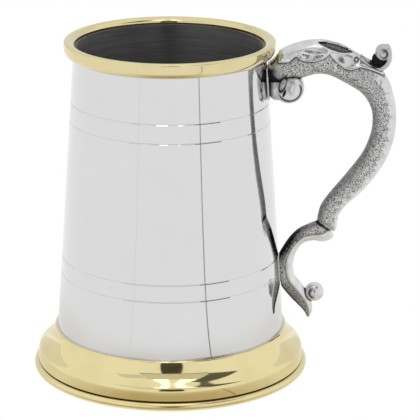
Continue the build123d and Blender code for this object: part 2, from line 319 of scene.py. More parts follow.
def turned(name, profile, material, segments=360, sharp=32.0):
    """Plain mesh object turned from a closed profile of (radius, z) points."""
    loop = list(profile) + [profile[0]]
    holder = bpy.data.meshes.new(name + "_profile")
    line = [(r * MM, 0.0, z * MM) for r, z in loop]
    holder.from_pydata(line, [(i, i + 1) for i in range(len(line) - 1)], [])
    maker = bpy.data.objects.new(name + "_maker", holder)
    bpy.context.scene.collection.objects.link(maker)
    lathe = maker.modifiers.new("lathe", "NODES")
    lathe.node_group = TURNING
    names = {item.name: item.identifier for item in TURNING.interface.items_tree}
    lathe[names["Segments"]] = segments if FINE else segments // 2
    lathe[names["Finish"]] = material
    graph = bpy.context.evaluated_depsgraph_get()
    mesh = bpy.data.meshes.new_from_object(maker.evaluated_get(graph), depsgraph=graph)
    bpy.data.objects.remove(maker)
    mesh.name = name
    mesh.materials.clear()
    mesh.materials.append(material)
    mesh.polygons.foreach_set("material_index", [0] * len(mesh.polygons))
    obj = bpy.data.objects.new(name, mesh)
    bpy.context.scene.collection.objects.link(obj)
    tidy_faces(obj)
    mesh.shade_smooth()
    mesh.set_sharp_from_angle(angle=math.radians(sharp))
    return obj


NO_AREA = 1e-14               # square metres


def tidy_faces(obj):
    """Weld doubles, drop flat faces and loose edges, point every face outwards."""
    work = bmesh.new()
    work.from_mesh(obj.data)
    bmesh.ops.remove_doubles(work, verts=work.verts, dist=1e-7)
    flat = [f for f in work.faces if f.calc_area() < NO_AREA]
    bmesh.ops.delete(work, geom=flat, context="FACES_ONLY")
    loose = [e for e in work.edges if not e.link_faces]
    bmesh.ops.delete(work, geom=loose, context="EDGES")
    bmesh.ops.recalc_face_normals(work, faces=work.faces)
    work.to_mesh(obj.data)
    work.free()


def arc(centre, radius, first, last, steps):
    """Points on an arc, in degrees measured from +radius towards +z."""
    spots = []
    for step in range(steps + 1):
        angle = math.radians(first + (last - first) * step / steps)
        spots.append((centre[0] + radius * math.cos(angle), centre[1] + radius * math.sin(angle)))
    return spots


def smooth_line(knots, steps):
    """Catmull-Rom curve through knots, any number of values each."""
    k = np.asarray(knots, float)
    k = np.vstack([2 * k[0] - k[1], k, 2 * k[-1] - k[-2]])
    out = []
    for i in range(1, len(k) - 2):
        for t in np.linspace(0, 1, steps, endpoint=False):
            a, b, c, d = k[i - 1], k[i], k[i + 1], k[i + 2]
            out.append(0.5 * ((2 * b) + (c - a) * t + (2 * a - 5 * b + 4 * c - d) * t ** 2
                              + (3 * b - a - 3 * c + d) * t ** 3))
    out.append(k[-2])
    return np.array(out)


# ------------------------------------------------------------- turned pieces

GROOVES = (23.3, 30.5, 83.6, 90.0)


def barrel_profile():
    """Outside from the seat to the mouth with its four cut lines, then inside."""
    half = 0.27
    depth = 0.2
    points = [(barrel_r(SEAT), SEAT)]
    for drop in sorted(GROOVES, reverse=True):
        z = TOTAL - drop
        points.append((barrel_r(z - 6 * half), z - 6 * half))
        points.append((barrel_r(z - half), z - half))
        points.append((barrel_r(z) - depth * 0.9, z - half * 0.16))
        points.append((barrel_r(z) - depth * 0.9, z + half * 0.16))
        points.append((barrel_r(z + half), z + half))
        points.append((barrel_r(z + 6 * half), z + 6 * half))
    edge = 0.25
    points.append((barrel_r(MOUTH - 1.0), MOUTH - 1.0))
    points.append((barrel_r(MOUTH - edge), MOUTH - edge))
    points.append((barrel_r(MOUTH) - edge * 0.3, MOUTH - edge * 0.3))
    points.append((barrel_r(MOUTH) - edge, MOUTH))
    points.append((barrel_r(MOUTH) - WALL + edge, MOUTH))
    points.append((barrel_r(MOUTH) - WALL + edge * 0.3, MOUTH - edge * 0.3))
    for step in range(13):
        z = MOUTH - 1.0 + (SEAT - MOUTH + 1.0) * step / 12
        points.append((barrel_r(z) - WALL, z))
    return points


def rim_profile():
    """Brass band: lip, crown, rounded nose and the rebate over the barrel."""
    lip = barrel_r(MOUTH) - 0.6
    bore_low = barrel_r(RIM_LOW.z) + SOLDER
    widest = RIM_HIGH.x
    points = [(bore_low, RIM_LOW.z), (barrel_r(MOUTH) + SOLDER, MOUTH), (lip, MOUTH)]
    knots = [(lip, MOUTH + 0.3), (lip + 0.1, TOTAL - 1.65), (lip + 0.4, TOTAL - 1.15),
             (lip + 0.9, TOTAL - 0.75), (lip + 1.6, TOTAL - 0.4), (lip + 2.5, TOTAL - 0.18),
             (lip + 3.4, TOTAL - 0.3),
             (widest - 0.16, TOTAL - 0.62), (widest - 0.04, TOTAL - 1.1), (widest, TOTAL - 2.0),
             (widest - 0.04, TOTAL - 3.3), (widest - 0.3, TOTAL - 4.2), (widest - 0.85, TOTAL - 5.1),
             (widest - 1.6, RIM_LOW.z + 0.3), (widest - 2.3, RIM_LOW.z)]
    points += [tuple(p) for p in smooth_line(knots, 6)]
    return points


# The foot's face: millimetres down along it, and how far it leans back there in
# degrees from upright. Rolled top edge, hollow, shoulder, then the upright cheek.
FOOT_LEAN = [(0, 88), (0.25, 80), (0.8, 45), (1.3, 22), (1.8, 12), (3.0, 17), (5.0, 33), (7.3, 45),
             (9.0, 53), (10.6, 52), (11.25, 40), (11.8, 20), (12.4, 8), (14.0, 5), (16.2, 2)]


def foot_profile():
    """Brass foot: collar, ogee, groove, rolled bead and the hollow underneath."""
    wide = FOOT_HIGH.x
    top = FOOT_HIGH.z
    step = 0.05
    along = np.arange(0, FOOT_LEAN[-1][0] - 0.1, step)
    lean = np.radians(np.interp(along, *zip(*FOOT_LEAN)))
    ease = np.hanning(9) / np.hanning(9).sum()
    lean = np.convolve(np.pad(lean, 4, mode="edge"), ease, "valid")
    out = barrel_r(top) + SOLDER + 0.1 + np.cumsum(np.sin(lean)) * step
    down = top - np.cumsum(np.cos(lean)) * step
    bead_r = 1.6
    points = [(barrel_r(SEAT) + SOLDER, SEAT), (barrel_r(top) + SOLDER, top)]
    points += list(zip(out[::4], down[::4]))
    points += [(wide - 1.5, 3.78), (wide - 2.0, 3.68), (wide - 2.0, 3.4), (wide - 1.6, 3.3)]
    points += arc((wide - bead_r, bead_r), bead_r, 78, -90, 20)
    points += [(wide - 3.0, 0.0), (wide - 3.2, 0.25), (wide - 3.2, 3.3)]
    points += [(wide - 6.6, SEAT - 1.9), (barrel_r(SEAT) - 2.2, SEAT - 1.9), (barrel_r(SEAT) - 2.2, SEAT)]
    return points


def plate_profile():
    """Base plate with its turned-down flange; the last rows close at the axis."""
    high = PLATE_HIGH.z
    inside_high = barrel_r(high) - WALL
    inside_low = barrel_r(SEAT) - WALL
    inner = inside_low - 1.5
    top = [(inside_high - r, high) for r in (0.0, 2.0, 10.0, 20.0, 30.0)]
    under = high - 1.5
    return top + [(0.0, high), (0.0, under), (20.0, under), (inner - 0.6, under), (inner, under - 0.6),
                  (inner, SEAT), (inside_low, SEAT)]


# ------------------------------------------------------------ handle shapes

def at(out, up):
    """(x, z) in millimetres: out from the barrel's wall, up from the floor."""
    return (barrel_r(up) + out, up)


ARM_CROSSINGS = [
    ((5.6, 113.4), (1.6, 121.6)), ((12.0, 115.0), (7.0, 126.0)), ((18.8, 116.8), (16.8, 128.8)),
    ((24.0, 116.3), (24.6, 128.2)), ((28.4, 113.9), (32.2, 124.7)), ((35.0, 109.4), (42.6, 118.4)),
    ((37.6, 105.4), (47.1, 107.6)), ((38.5, 99.6), (47.4, 99.6)), ((37.2, 92.8), (46.0, 91.4)),
    ((33.5, 85.2), (42.0, 82.4)), ((27.2, 77.4), (34.6, 72.6)), ((20.6, 69.6), (27.6, 66.4)),
    ((16.7, 63.8), (24.2, 62.0)), ((15.7, 58.6), (22.3, 55.1)),
]
SCROLL_CROSSINGS = [
    ((22.4, 54.0), (17.0, 60.6)), ((20.2, 51.9), (14.9, 58.7)), ((15.0, 51.6), (12.0, 57.4)),
    ((10.8, 50.6), (8.4, 55.5)), ((8.0, 48.4), (5.2, 52.5)), ((6.3, 45.4), (2.2, 48.6)),
    ((5.5, 42.4), (-0.4, 44.0)), ((5.3, 39.6), (-1.0, 39.6)), ((6.0, 35.8), (-0.4, 34.4)),
    ((8.8, 31.8), (2.2, 30.4)), ((11.4, 27.2), (5.6, 26.7)), ((11.7, 23.9), (8.3, 22.6)),
    ((10.9, 21.1), (9.4, 20.6)),
]


def spine(crossings, thick):
    """Centre line with half width and half thickness, from pairs of edge points."""
    rows = []
    last = len(crossings) - 1
    for i, (inner, outer) in enumerate(crossings):
        a, b = np.array(at(*inner)), np.array(at(*outer))
        share = i / last
        half = np.hypot(*(b - a)) / 2
        rows.append([*((a + b) / 2), half, (thick[0] + (thick[1] - thick[0]) * share) / 2])
    return smooth_line(rows, 12)


ARM_LINE = spine(ARM_CROSSINGS, (10.4, 7.8))
SCROLL_LINE = spine(SCROLL_CROSSINGS, (7.6, 3.6))
SQUARENESS = 2.3              # of the bars' section; 2 would be an ellipse


def follow(line, x, z):
    """Distance from the line, side, share of its length, half width, half thickness."""
    shape = np.broadcast(x, z).shape
    px = np.broadcast_to(x, shape).ravel()
    pz = np.broadcast_to(z, shape).ravel()
    best = np.full(px.shape, 1e9)
    side = np.ones(px.shape)
    where = np.zeros(px.shape)
    for i in range(len(line) - 1):
        ax, az = line[i, :2]
        dx, dz = line[i + 1, :2] - line[i, :2]
        t = np.clip(((px - ax) * dx + (pz - az) * dz) / (dx * dx + dz * dz), 0, 1)
        ex, ez = px - ax - t * dx, pz - az - t * dz
        d = ex * ex + ez * ez
        near = d < best
        best = np.where(near, d, best)
        side = np.where(near, np.sign(dx * ez - dz * ex), side)
        where = np.where(near, i + t, where)
    steps = np.arange(len(line))
    half = np.interp(where, steps, line[:, 2])
    thick = np.interp(where, steps, line[:, 3])
    return [v.reshape(shape) for v in (np.sqrt(best), side, where / (len(line) - 1), half, thick)]


def oval(dist, y, half, thick, power=2.0):
    """Signed distance to an oval bar, about true near its surface."""
    q = ((dist / half) ** power + (np.abs(y) / thick) ** power) ** (1 / power)
    r = np.sqrt(dist ** 2 + y ** 2)
    return r * (1 - 1 / np.maximum(q, 1e-3)) - np.where(q < 0.02, 1.0, 0.0)


def soft_union(a, b, k):
    h = np.clip(0.5 + 0.5 * (b - a) / k, 0, 1)
    return b * (1 - h) + a * h - k * h * (1 - h)


def soft_cut(a, b, k):
    """What is in both a and b, with its edge eased over k millimetres."""
    return -soft_union(-a, -b, k)


def ramp(value, low, high):
    t = np.clip((value - low) / (high - low), 0, 1)
    return t * t * (3 - 2 * t)


def blob(x, z, cx, cz, size):
    """1 at the centre, fading to 0 at about size millimetres."""
    return np.exp(-(((x - cx) ** 2 + (z - cz) ** 2) / (0.5 * size) ** 2))


def almond(x, z, one, two, width):
    """1 in the middle of a pointed oval drawn from one tip to the other."""
    ax, az = one
    dx, dz = two[0] - ax, two[1] - az
    length = math.hypot(dx, dz)
    u = ((x - ax) * dx + (z - az) * dz) / length ** 2
    v = (-(x - ax) * dz + (z - az) * dx) / length
    reach = width * np.clip(4 * u * (1 - u), 1e-6, 1)
    return np.where((u > 0) & (u < 1), np.clip(1 - (v / reach) ** 2, 0, 1), 0.0)


LATTICE_SIZE = 48
LATTICE = np.random.default_rng(7).random((LATTICE_SIZE, LATTICE_SIZE, LATTICE_SIZE))


def cloudy(x, y, z, size):
    """Smooth value noise from 0 to 1 with blobs about size millimetres across."""
    p = [np.asarray(c, float) / size for c in (x, y, z)]
    base = [np.floor(c).astype(int) for c in p]
    f = [c - b for c, b in zip(p, base)]
    f = [c * c * (3 - 2 * c) for c in f]
    total = 0.0
    for corner in range(8):
        bits = [(corner >> k) & 1 for k in range(3)]
        weight = 1.0
        for k in range(3):
            weight = weight * (f[k] if bits[k] else 1 - f[k])
        i, j, k = [(base[n] + bits[n]) % LATTICE_SIZE for n in range(3)]
        total = total + weight * LATTICE[i, j, k]
    return total


HEEL = (at(15.7, 58.6), at(22.3, 55.1))
SCROLL_END = (at(21.3, 53.9), at(17.4, 60.6))


def past(line, x, z):
    """Millimetres beyond a straight line between two points."""
    a, b = np.array(line[0]), np.array(line[1])
    run = (b - a) / np.hypot(*(b - a))
    return (x - a[0]) * run[1] - (z - a[1]) * run[0]


def off_barrel(body, x, y, z, gap):
    """What is left of a casting when it stops gap millimetres off the barrel."""
    return soft_cut(body, barrel_r(z) + gap - np.hypot(x, y), 0.2)


def arm_shape(x, y, z):
    dist, _, _, half, thick = follow(ARM_LINE, x, z)
    body = oval(dist, y, half, thick, SQUARENESS)
    body = soft_cut(body, past(HEEL, x, z), 0.5)
    return off_barrel(body, x, y, z, 0.3)


# The leaf's lower edge: millimetres out from the barrel's axis, and how far up the
# arm's flank it runs there, from -1 at the arm's inner side to 1 at its outer.
LEAF_EDGE = [(40.0, 0.70), (43.0, 0.42), (45.0, 0.30), (47.3, 0.50), (49.4, 0.16), (52.0, 0.00),
             (54.5, -0.06), (57.4, 0.06), (59.0, 0.30), (59.9, 0.52), (61.0, 0.26), (63.0, 0.06),
             (65.6, -0.02), (68.0, 0.10), (69.8, 0.34), (71.6, 0.56), (74.0, 0.66), (77.0, 0.78),
             (80.5, 0.95)]
# Hollow lenses of the leaf: one tip, the other tip, half width.
LENS_ONE = ((48.2, 126.3), (59.2, 125.8), 1.15)
LENS_TWO = ((55.6, 129.2), (68.6, 125.4), 1.45)
LENS_ROOT = ((44.0, 120.6), (49.6, 124.6), 1.2)
LEAF_HOLE = (69.9, 122.9)


def leaf_veins(x, z):
    """Wave from -1 to 1 across the leaf's slanting ribs."""
    return np.sin((x - 0.45 * (z - 120)) * 1.1)


def leaf_shape(x, y, z):
    """Leaf over the arm's top, with curled lobes, ribs and two hollow lenses."""
    dist, side, _, half, thick = follow(ARM_LINE, x, z)
    arm = oval(dist, y, half, thick, SQUARENESS)
    level = side * dist / half
    edge_x = [p[0] for p in LEAF_EDGE]
    edge = np.interp(x, edge_x, [p[1] for p in LEAF_EDGE])
    inside = (level - edge) * half
    height = 0.62 + 0.42 * np.exp(-(((inside - 0.5) / 0.55) ** 2))
    height = height - 0.38 * almond(x, z, *LENS_ONE) - 0.80 * almond(x, z, *LENS_TWO)
    height = height + 0.30 * np.exp(-((y / 0.7) ** 2)) * ramp(x, 44, 50)
    ribs = leaf_veins(x, z) * 0.10 * ramp(inside, 0.3, 1.6)
    height = height + ribs * (1 - ramp(level, 0.55, 0.85))
    height = height - 0.45 * almond(x, z, *LENS_ROOT)
    for cx, cz in ((59.8, 125.2), (50.0, 123.9)):
        height = height + 0.75 * blob(x, z, cx, cz, 1.1)
    height = height - 1.5 * blob(x, z, *LEAF_HOLE, 1.5)
    ends = np.minimum(x - 40.6, 80.2 - x)
    shell = soft_cut(arm - height, -inside, 0.5)
    shell = soft_cut(shell, -ends, 0.6)
    return soft_cut(shell, -(arm + 0.9), 0.3)


CURL = smooth_line([(81.4, 127.0, 1.1, 3.3), (82.1, 124.9, 1.05, 3.3), (82.0, 122.6, 1.05, 3.2),
                    (80.9, 120.6, 1.05, 3.2), (79.0, 119.35, 0.95, 3.3), (76.6, 119.7, 0.75, 3.5),
                    (74.3, 121.2, 0.65, 3.7), (71.6, 123.2, 0.55, 3.8)], 10)
KNOB = (79.75, 125.25)


def thumb_shape(x, y, z):
    """Curled leaf tip: a knob rolled over the end of the leaf, hollow below."""
    r = np.hypot(x - KNOB[0], z - KNOB[1])
    knob = oval(r, y, 2.95, 3.9, 3.0)
    dent = 0.55 * np.exp(-(((r - 1.55) / 0.38) ** 2)) * ramp(np.abs(y), 2.6, 3.6)
    knob = knob + dent
    dist, _, _, half, thick = follow(CURL, x, z)
    ribbon = oval(dist, y, half, thick, 3.2)
    web = oval(np.hypot(x - 78.9, z - 122.4), y, 3.3, 1.5, 4.0)
    body = soft_union(knob, ribbon, 0.7)
    return soft_union(body, web, 0.3)


VOLUTE = (44.86, 111.3)
EYE = (45.9, 111.7)


def volute_line(x, z):
    """Dark line inside the volute's rim, round its lower right only."""
    r = np.hypot(x - VOLUTE[0], z - VOLUTE[1])
    turn = np.arctan2(z - VOLUTE[1] - 1.0, x - VOLUTE[0])
    around = 1 - ramp(np.abs((turn + 1.1 + math.pi) % math.tau - math.pi), 1.0, 1.6)
    line = np.exp(-(((r - 4.35 - 0.35 * np.sin(turn + 2.2)) / 0.36) ** 2)) * around
    spike = almond(x, z, (42.6, 108.3), (43.7, 111.3), 0.55)
    return np.maximum(line, spike)


def lobe_reach(x, z):
    """Distance from the middle of the volute's lobe, stretched to its leaning oval."""
    return np.hypot((x - 42.6 - 0.25 * (z - 113.5)) / 0.8, (z - 113.5) / 1.9)


def eye_reach(x, z):
    """Distance from the middle of the volute's eye, stretched to its upright oval."""
    return np.hypot((x - EYE[0]) / 0.75, (z - EYE[1]) / 1.5)


def volute_shape(x, y, z):
    """Drop scroll with a rolled rim, a teardrop eye and a lobed back."""
    r = np.hypot(x - VOLUTE[0], z - VOLUTE[1])
    disc = oval(r, y, 5.8, 4.6, 4.0)
    disc = disc + 0.65 * volute_line(x, z) * ramp(np.abs(y), 2.6, 3.6)
    back = oval(np.hypot(x - 40.4, (z - 112.9) / 1.62), y, 4.1, 4.1, 3.0)
    body = soft_union(disc, back, 0.5)
    eye = oval(eye_reach(x, z), np.abs(y) - 4.0, 1.35, 1.2, 2.0)
    body = soft_union(body, eye, 0.12)
    lobe = oval(lobe_reach(x, z), np.abs(y) - 3.6, 1.5, 1.5, 2.0)
    body = soft_union(body, lobe, 0.2)
    body = np.maximum(body, z - 119.3)
    return off_barrel(body, x, y, z, 0.35)


def scroll_shape(x, y, z):
    """Lower C scroll: stippled sides, a smooth ribbon face and a tail spur."""
    dist, side, share, half, thick = follow(SCROLL_LINE, x, z)
    bar = oval(dist, y, half, thick, SQUARENESS)
    level = -side * dist / half
    bar = bar + 0.32 * np.exp(-(((level + 0.10) / 0.1) ** 2)) * ramp(share, 0.03, 0.1)
    bar = bar - 0.10 * ramp(-level, 0.2, 0.5)
    bar = np.maximum(bar, -0.3 - past(HEEL, x, z))
    bar = soft_cut(bar, past(SCROLL_END, x, z), 0.8)
    return off_barrel(bar, x, y, z, 0.3)


BALL = ((BALL_LOW.x + BALL_HIGH.x) / 2, (BALL_LOW.z + BALL_HIGH.z) / 2)
BALL_R = (BALL_HIGH.x - BALL_LOW.x) / 2


def ball_ring(x, z, depth, width):
    """Open ring cut round the boss on the ball's side, seen from the side."""
    r = np.hypot(x - BALL[0], z - BALL[1])
    turn = np.arctan2(z - BALL[1], x - BALL[0])
    ring = 1.75 + 0.3 * np.cos(turn - 2.3)
    return depth * np.exp(-(((r - ring) / width) ** 2)) * ramp(np.cos(turn - 3.3), -0.2, 0.7)


def ball_shape(x, y, z):
    """Ball terminal with a rim and a boss cut on each side."""
    r = np.hypot(x - BALL[0], z - BALL[1])
    ball = np.sqrt(r ** 2 + y ** 2) - BALL_R
    return ball + ball_ring(x, z, 0.75, 0.45) * ramp(np.abs(y), 1.8, 2.6)


def skin(shape, low, high, step):
    """Closed mesh of the zero surface of shape inside a box: points and quads."""
    axes = [np.arange(l - 2 * step, h + 3 * step, step) for l, h in zip(low, high)]
    x, y, z = np.meshgrid(*axes, indexing="ij", sparse=True)
    field = np.broadcast_to(shape(x, y, z), [len(a) for a in axes]).copy()
    cells = tuple(n - 1 for n in field.shape)
    total = np.zeros(cells + (3,))
    hits = np.zeros(cells)
    corners = [(i, j, k) for i in (0, 1) for j in (0, 1) for k in (0, 1)]

    def corner_values(c):
        return field[c[0]:c[0] + cells[0], c[1]:c[1] + cells[1], c[2]:c[2] + cells[2]]

    for a in corners:
        for axis in range(3):
            if a[axis]:
                continue
            b = list(a)
            b[axis] = 1
            fa, fb = corner_values(a), corner_values(b)
            cross = (fa < 0) != (fb < 0)
            t = np.where(cross, fa / np.where(cross, fa - fb, 1), 0)
            for k in range(3):
                total[..., k] += np.where(cross, a[k] + (t if k == axis else 0), 0)
            hits += cross
    live = hits > 0
    number = np.full(cells, -1)
    number[live] = np.arange(live.sum())
    where = np.argwhere(live)
    spots = where + total[live] / hits[live][:, None]
    points = np.stack([axes[k][0] + spots[:, k] * step for k in range(3)], 1)
    quads = []
    for axis in range(3):
        u, v = (axis + 1) % 3, (axis + 2) % 3
        one = [slice(None)] * 3
        two = [slice(None)] * 3
        one[axis], two[axis] = slice(0, -1), slice(1, None)
        fa, fb = field[tuple(one)], field[tuple(two)]
        edges = np.argwhere((fa < 0) != (fb < 0))
        edges = edges[(edges[:, u] > 0) & (edges[:, v] > 0)]
        inward = fa[tuple(edges.T)] < 0
        ring = []
        for du, dv in ((0, 0), (-1, 0), (-1, -1), (0, -1)):
            c = edges.copy()
            c[:, u] += du
            c[:, v] += dv
            ring.append(number[tuple(c.T)])
        ring = np.stack(ring, 1)
        quads.append(np.where(inward[:, None], ring, ring[:, ::-1]))
    return points, np.vstack(quads)


def relax(points, quads, rounds):
    """Even out the steps of the grid without shrinking the shape much."""
    pairs = np.vstack([quads[:, [0, 1]], quads[:, [1, 2]], quads[:, [2, 3]], quads[:, [3, 0]]])
    count = np.bincount(pairs[:, 0], minlength=len(points)) + np.bincount(pairs[:, 1], minlength=len(points))
    for turn in range(rounds):
        weight = 0.5 if turn % 2 == 0 else -0.52
        mean = np.zeros_like(points)
        for k in range(3):
            mean[:, k] = (np.bincount(pairs[:, 0], points[pairs[:, 1], k], len(points))
                          + np.bincount(pairs[:, 1], points[pairs[:, 0], k], len(points))) / count
        points = points + weight * (mean - points)
    return points


def normals(points, quads):
    a, b, c, d = [points[quads[:, k]] for k in range(4)]
    face = np.cross(c - a, d - b)
    total = np.zeros_like(points)
    for k in range(4):
        for axis in range(3):
            total[:, axis] += np.bincount(quads[:, k], face[:, axis], len(points))
    return total / np.maximum(np.linalg.norm(total, axis=1)[:, None], 1e-12)


def casting(name, shape, low, high, step, material, grain_of, patina_of, rough=0.09, pit=0.62):
    """Cast piece: skin of a shape, stippled where grain_of says, with its patina."""
    points, quads = skin(shape, low, high, step if FINE else step * 1.7)
    points = relax(points, quads, 4)
    n = normals(points, quads)
    x, y, z = points.T
    grain = np.clip(grain_of(x, y, z), 0, 1)
    dots = 0.62 * cloudy(x, y, z, pit) + 0.38 * cloudy(x + 9, y + 5, z, pit * 0.55)
    dents = ramp(0.5 - dots, -0.06, 0.10)
    points = points - n * (rough * grain * (dents - 0.35))[:, None]
    patina = np.clip(patina_of(x, y, z) + grain * dents * 0.16, 0, 1)
    obj = mesh_object(name, points, quads, material)
    for key, values in (("patina", patina), ("grain", grain)):
        layer = obj.data.attributes.new(key, "FLOAT", "POINT")
        layer.data.foreach_set("value", values.astype(np.float32))
    obj.data.shade_smooth()
    return obj


def near(shape, x, y, z, reach):
    """1 where a neighbouring piece touches, fading out over reach millimetres."""
    return 1 - ramp(shape(x, y, z), 0.0, reach)


def arm_grain(x, y, z):
    dist, side, share, half, _ = follow(ARM_LINE, x, z)
    level = side * dist / half
    start = np.interp(share, [0, 0.25, 0.42, 0.55, 0.75, 1.0], [0.9, 0.75, 0.25, 0.10, 0.25, 0.45])
    wobble = 0.25 * (cloudy(x, y, z, 2.2) - 0.5) + 0.7 * (cloudy(x, y, z, 0.8) - 0.5)
    return (1 - ramp(level + wobble, start, start + 0.45)) * ramp(x, 39.5, 42)


def arm_patina(x, y, z):
    dark = 0.85 * near(leaf_shape, x, y, z, 0.8) * ramp(z, 112, 115)
    dark = dark + 0.95 * near(volute_shape, x, y, z, 1.6)
    dark = dark + 0.9 * near(scroll_shape, x, y, z, 0.9) + 0.9 * near(thumb_shape, x, y, z, 0.9)
    root = (1 - ramp(x, 38.0, 43.0)) * (1 - ramp(z, 118.5, 121.0))
    dist, side, share, half, _ = follow(ARM_LINE, x, z)
    under = ramp(-side * dist / half, 0.0, 1.0) * 0.42 * ramp(share, 0.32, 0.55)
    return dark + root + under


def leaf_patina(x, y, z):
    lens = 0.16 * ramp(almond(x, z, *LENS_ONE), 0.1, 0.9)
    lens = lens + (0.14 + 0.42 * ramp(x, 59.0, 66.0)) * ramp(almond(x, z, *LENS_TWO), 0.1, 0.9)
    lens = lens + 0.32 * ramp(almond(x, z, *LENS_ROOT), 0.1, 0.9)
    hole = 0.9 * blob(x, z, *LEAF_HOLE, 1.7)
    ribs = 0.10 * ramp(leaf_veins(x, z), 0.2, -0.9) * (1 - ramp(z, 124.5, 126.0))
    tip = 0.9 * near(thumb_shape, x, y, z, 0.7)
    return lens + hole + ribs + tip + 0.8 * near(arm_shape, x, y, z, 0.35)


def thumb_patina(x, y, z):
    r = np.hypot(x - KNOB[0], z - KNOB[1])
    swirl = 0.75 * np.exp(-(((r - 1.55) / 0.45) ** 2)) * ramp(np.abs(y), 2.4, 3.4) * ramp(x, 78.6, 80.4)
    hollow = (1 - ramp(np.abs(y), 1.9, 3.0)) * ramp(82.4 - x, 0.3, 1.6) * (1 - ramp(z, 124.0, 125.6))
    hollow = hollow * ramp(z, 119.6, 120.6) * ramp(x, 74.5, 75.5)
    return 0.24 + swirl + hollow * 1.1


def volute_grain(x, y, z):
    return 0.8 * ramp(z - 0.5 * (x - 44.0), 113.0, 114.5) * ramp(np.abs(y), 2.6, 3.4)


def volute_patina(x, y, z):
    line = 0.95 * volute_line(x, z) * ramp(np.abs(y), 2.2, 3.2)
    line = line + 0.8 * np.exp(-(((lobe_reach(x, z) - 1.55) / 0.3) ** 2)) * ramp(np.abs(y), 2.6, 3.4)
    pool = 0.25 * np.exp(-(((eye_reach(x, z) - 1.5) / 0.35) ** 2)) * ramp(np.abs(y), 2.6, 3.4)
    back = 0.95 * (1 - ramp(x, 37.6, 40.0)) * ramp(z, 106.5, 109.0)
    top = 0.95 * ramp(z, 115.4, 117.0) * (1 - ramp(x, 43.0, 46.0))
    side = 0.55 * blob(x, z, 42.8, 111.6, 4.2) * ramp(np.abs(y), 2.6, 3.4)
    return line + pool + side + back + top + 0.9 * near(arm_shape, x, y, z, 0.6)


def scroll_level(x, z):
    dist, side, share, half, _ = follow(SCROLL_LINE, x, z)
    return -side * dist / half, share


def scroll_grain(x, y, z):
    level, _ = scroll_level(x, z)
    return ramp(level, -0.14, 0.0)


def scroll_patina(x, y, z):
    level, share = scroll_level(x, z)
    line = 0.7 * np.exp(-(((level + 0.10) / 0.08) ** 2))
    deep = 0.8 * ramp(share, 0.14, 0.36) * (1 - ramp(share, 0.42, 0.60)) * ramp(level, -0.1, 0.3)
    edge = 0.4 * ramp(level, 0.45, 0.9)
    tail = 0.4 * ramp(share, 0.62, 0.72) * ramp(level, -0.1, 0.1)
    joint = 0.95 * near(arm_shape, x, y, z, 0.8) + 0.95 * near(ball_shape, x, y, z, 0.8)
    return line + deep + edge + tail + joint


def ball_patina(x, y, z):
    cut = ball_ring(x, z, 0.9, 0.5)
    return cut * ramp(np.abs(y), 1.6, 2.4) + 0.9 * near(scroll_shape, x, y, z, 0.6)


def plain(x, y, z):
    """No stippling anywhere."""
    return np.zeros_like(x)


# -------------------------------------------------------------- the tankard

def finished(piece, slot, *nodes):
    """Put a finished piece on the tankard's body in place of its CAD nodes."""
    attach(piece, "root")
    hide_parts(*nodes)


def line_cup(piece, lining):
    """Give the faces that look inwards the turned lining, dark with painted shade."""
    piece.data.materials.append(lining)
    for face in piece.data.polygons:
        c, n = face.center, face.normal
        inward = c.x * n.x + c.y * n.y < -0.3 * math.hypot(c.x, c.y)
        if inward or c.z / MM > MOUTH - 0.3:
            face.material_index = 1


